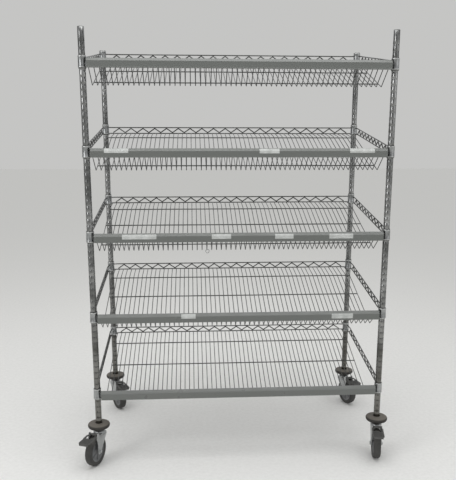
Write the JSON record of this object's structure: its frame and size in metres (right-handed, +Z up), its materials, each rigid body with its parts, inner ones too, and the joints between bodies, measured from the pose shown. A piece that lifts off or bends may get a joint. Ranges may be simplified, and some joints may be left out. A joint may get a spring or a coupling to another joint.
{
  "type": "slanted wire shelf rack on casters",
  "caption": "Mobile chrome rack: round posts on swivel casters with brakes carry slanted wire shelves with front ledges and label strips.",
  "frame": {"origin": "on the floor, under the middle of the bounding box", "axes": "+X to the right along the shelves, +Y from the front to the rear, +Z up"},
  "size_m": [1.3254, 0.7618, 1.7529],
  "materials": {
    "post_chrome": "bright plated, ringed",
    "wire_chrome": "bright plated wire",
    "zinc_steel": "zinc plated, satin",
    "strip_plastic": "satin extrusion",
    "cap_plastic": "satin",
    "pedal_plastic": "satin, ridged",
    "bumper_rubber": "matt",
    "tyre": "matt, scuffed tread",
    "wheel_core": "satin"
  },
  "bodies": {
    "rack": {"shelf_1_frame": "wire_chrome", "shelf_1_floor": "wire_chrome", "shelf_1_ledge": "wire_chrome", "shelf_1_label_strip": "strip_plastic", "shelf_2_frame": "wire_chrome", "shelf_2_floor": "wire_chrome", "shelf_2_ledge": "wire_chrome", "shelf_2_label_strip": "strip_plastic", "shelf_3_frame": "wire_chrome", "shelf_3_floor": "wire_chrome", "shelf_3_ledge": "wire_chrome", "shelf_3_label_strip": "strip_plastic", "shelf_4_frame": "wire_chrome", "shelf_4_floor": "wire_chrome", "shelf_4_ledge": "wire_chrome", "shelf_4_label_strip": "strip_plastic", "shelf_5_frame": "wire_chrome", "shelf_5_floor": "wire_chrome", "shelf_5_ledge": "wire_chrome", "shelf_5_label_strip": "strip_plastic", "front_left_post": "post_chrome", "front_left_post_cap": "cap_plastic", "front_left_caster_stem": "zinc_steel", "front_left_bumper": "bumper_rubber", "front_right_post": "post_chrome", "front_right_post_cap": "cap_plastic", "front_right_caster_stem": "zinc_steel", "front_right_bumper": "bumper_rubber", "rear_left_post": "post_chrome", "rear_left_post_cap": "cap_plastic", "rear_left_caster_stem": "zinc_steel", "rear_left_bumper": "bumper_rubber", "rear_right_post": "post_chrome", "rear_right_post_cap": "cap_plastic", "rear_right_caster_stem": "zinc_steel", "rear_right_bumper": "bumper_rubber"},
    "front_left_swivel": {"front_left_caster_fork": "zinc_steel", "front_left_caster_axle": "zinc_steel"},
    "front_left_wheel": {"front_left_caster_tyre": "tyre", "front_left_caster_hub": "wheel_core"},
    "front_left_pedal": {"front_left_brake_pedal": "pedal_plastic"},
    "front_right_swivel": {"front_right_caster_fork": "zinc_steel", "front_right_caster_axle": "zinc_steel"},
    "front_right_wheel": {"front_right_caster_tyre": "tyre", "front_right_caster_hub": "wheel_core"},
    "front_right_pedal": {"front_right_brake_pedal": "pedal_plastic"},
    "rear_left_swivel": {"rear_left_caster_fork": "zinc_steel", "rear_left_caster_axle": "zinc_steel"},
    "rear_left_wheel": {"rear_left_caster_tyre": "tyre", "rear_left_caster_hub": "wheel_core"},
    "rear_left_pedal": {"rear_left_brake_pedal": "pedal_plastic"},
    "rear_right_swivel": {"rear_right_caster_fork": "zinc_steel", "rear_right_caster_axle": "zinc_steel"},
    "rear_right_wheel": {"rear_right_caster_tyre": "tyre", "rear_right_caster_hub": "wheel_core"},
    "rear_right_pedal": {"rear_right_brake_pedal": "pedal_plastic"}
  },
  "joints": [
    {"name": "front_left_caster_swivel", "type": "hinge", "parent": "rack", "child": "front_left_swivel", "pos_m": [-0.59398, -0.24932, 0.13296], "axis": [0, 0, 1], "continuous": true},
    {"name": "front_left_wheel_spin", "type": "hinge", "parent": "front_left_swivel", "child": "front_left_wheel", "pos_m": [-0.60746, -0.28269, 0.06296], "axis": [0.9272, -0.3746, 0], "continuous": true},
    {"name": "front_left_pedal_press", "type": "hinge", "parent": "front_left_swivel", "child": "front_left_pedal", "pos_m": [-0.61046, -0.29011, 0.13946], "axis": [0.9272, -0.3746, 0], "range_deg": [0, 9]},
    {"name": "front_right_caster_swivel", "type": "hinge", "parent": "rack", "child": "front_right_swivel", "pos_m": [0.59962, -0.24932, 0.13296], "axis": [0, 0, 1], "continuous": true},
    {"name": "front_right_wheel_spin", "type": "hinge", "parent": "front_right_swivel", "child": "front_right_wheel", "pos_m": [0.59276, -0.28465, 0.06296], "axis": [0.9816, -0.1908, 0], "continuous": true},
    {"name": "front_right_pedal_press", "type": "hinge", "parent": "front_right_swivel", "child": "front_right_pedal", "pos_m": [0.59123, -0.29251, 0.13946], "axis": [0.9816, -0.1908, 0], "range_deg": [0, 9]},
    {"name": "rear_left_caster_swivel", "type": "hinge", "parent": "rack", "child": "rear_left_swivel", "pos_m": [-0.59398, 0.33488, 0.13296], "axis": [0, 0, 1], "continuous": true},
    {"name": "rear_left_wheel_spin", "type": "hinge", "parent": "rear_left_swivel", "child": "rear_left_wheel", "pos_m": [-0.57652, 0.3034, 0.06296], "axis": [0.8746, 0.4848, 0], "continuous": true},
    {"name": "rear_left_pedal_press", "type": "hinge", "parent": "rear_left_swivel", "child": "rear_left_pedal", "pos_m": [-0.57264, 0.2964, 0.13946], "axis": [0.8746, 0.4848, 0], "range_deg": [0, 9]},
    {"name": "rear_right_caster_swivel", "type": "hinge", "parent": "rack", "child": "rear_right_swivel", "pos_m": [0.59962, 0.33488, 0.13296], "axis": [0, 0, 1], "continuous": true},
    {"name": "rear_right_wheel_spin", "type": "hinge", "parent": "rear_right_swivel", "child": "rear_right_wheel", "pos_m": [0.61135, 0.30085, 0.06296], "axis": [0.9455, 0.3256, 0], "continuous": true},
    {"name": "rear_right_pedal_press", "type": "hinge", "parent": "rear_right_swivel", "child": "rear_right_pedal", "pos_m": [0.61395, 0.29328, 0.13946], "axis": [0.9455, 0.3256, 0], "range_deg": [0, 9]}
  ]
}
